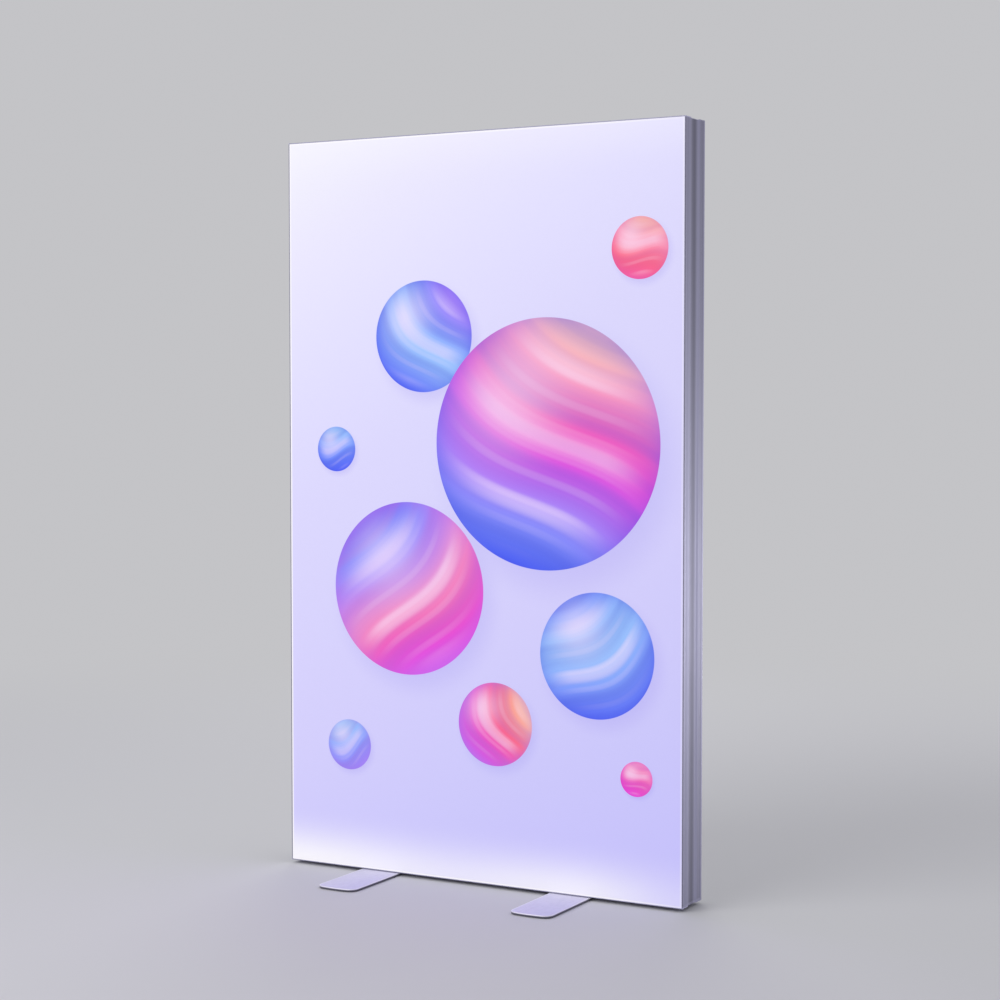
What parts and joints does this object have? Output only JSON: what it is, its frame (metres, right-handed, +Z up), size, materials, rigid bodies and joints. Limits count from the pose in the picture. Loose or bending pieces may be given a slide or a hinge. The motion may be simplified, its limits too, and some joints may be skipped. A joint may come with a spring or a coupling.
{
  "type": "lightbox display wall",
  "caption": "Free-standing backlit fabric light box: mitred aluminium frame with a stretched graphic held in edge grooves, light bars inside, on two flat swivelling feet.",
  "frame": {"origin": "on the floor, under the middle of the frame: the bottom centre of the whole part's box", "axes": "+X to the viewer's right along the width, +Y through the depth away from the viewer, so the graphic faces -Y, +Z up"},
  "size_m": [1.2, 0.58, 2.0088],
  "materials": {
    "frame_aluminium": "satin silver anodised, fine lengthwise extrusion lines",
    "graphic_fabric": "knitted polyester backlit fabric, dye-sublimation print, matt",
    "liner_fabric": "blackout polyester liner, pale grey outside, matt",
    "silicone": "milky translucent silicone",
    "cast_alloy": "die cast, bead blasted",
    "screw_steel": "zinc plated",
    "board": "white solder mask on an aluminium core",
    "lens": "clear moulded acrylic",
    "driver_case": "anodised extruded case with cooling fins",
    "black_plastic": "fine moulded texture",
    "cable_white": "white cable sheath",
    "foot_coating": "silver powder coat over steel plate",
    "pad_rubber": "black rubber sheet",
    "nylon": "natural nylon"
  },
  "bodies": {
    "frame": {"post_left": "frame_aluminium", "post_right": "frame_aluminium", "rail_bottom": "frame_aluminium", "rail_top": "frame_aluminium", "corner_bracket_bottom_left": "cast_alloy", "corner_bracket_bottom_right": "cast_alloy", "corner_bracket_top_left": "cast_alloy", "corner_bracket_top_right": "cast_alloy", "set_screw_post_bottom_left": "screw_steel", "set_screw_post_bottom_right": "screw_steel", "set_screw_post_top_left": "screw_steel", "set_screw_post_top_right": "screw_steel", "set_screw_rail_bottom_left": "screw_steel", "set_screw_rail_bottom_right": "screw_steel", "set_screw_rail_top_left": "screw_steel", "set_screw_rail_top_right": "screw_steel", "led_board_bottom": "board", "led_board_top": "board", "led_lens_bottom": "lens", "led_lens_top": "lens", "driver_case": "driver_case", "driver_cap_mains": "black_plastic", "driver_cap_output": "black_plastic", "driver_cap_mains_screw": "screw_steel", "driver_cap_output_screw": "screw_steel", "inlet_module": "black_plastic", "mains_lead": "cable_white", "lead_top": "cable_white", "lead_bottom": "cable_white", "lead_clip_1": "nylon", "lead_clip_2": "nylon", "brace_tube": "frame_aluminium", "brace_socket_left": "cast_alloy", "brace_socket_right": "cast_alloy", "brace_screw_left_lower": "screw_steel", "brace_screw_left_upper": "screw_steel", "brace_screw_right_lower": "screw_steel", "brace_screw_right_upper": "screw_steel", "foot_bolt_left": "screw_steel", "foot_bolt_right": "screw_steel", "swivel_disc_left": "nylon", "swivel_disc_right": "nylon", "nut_plate_left": "screw_steel", "nut_plate_right": "screw_steel"},
    "graphic": {"front_graphic": "graphic_fabric", "keder_front_left": "silicone", "keder_front_right": "silicone", "keder_front_bottom": "silicone", "keder_front_top": "silicone"},
    "liner": {"rear_liner": "liner_fabric", "keder_rear_left": "silicone", "keder_rear_right": "silicone", "keder_rear_bottom": "silicone", "keder_rear_top": "silicone"},
    "switch": {"switch_rocker": "black_plastic"},
    "left_foot": {"foot_left": "foot_coating", "foot_pad_left": "pad_rubber"},
    "right_foot": {"foot_right": "foot_coating", "foot_pad_right": "pad_rubber"}
  },
  "joints": [
    {"name": "left_foot_swivel", "type": "hinge", "parent": "frame", "child": "left_foot", "pos_m": [-0.3055, 0, 0.0048], "axis": [0, 0, 1], "range_deg": [-90, 90]},
    {"name": "right_foot_swivel", "type": "hinge", "parent": "frame", "child": "right_foot", "pos_m": [0.2785, 0, 0.0048], "axis": [0, 0, 1], "range_deg": [-90, 90]},
    {"name": "switch_rock", "type": "hinge", "parent": "frame", "child": "switch", "pos_m": [-0.5948, 0, 0.21223], "axis": [0, 1, 0], "range_deg": [0, 14]},
    {"name": "graphic_release", "type": "slide", "parent": "frame", "child": "graphic", "axis": [0, -1, 0], "range_m": [0, 0.25]},
    {"name": "liner_release", "type": "slide", "parent": "frame", "child": "liner", "axis": [0, 1, 0], "range_m": [0, 0.25]}
  ]
}
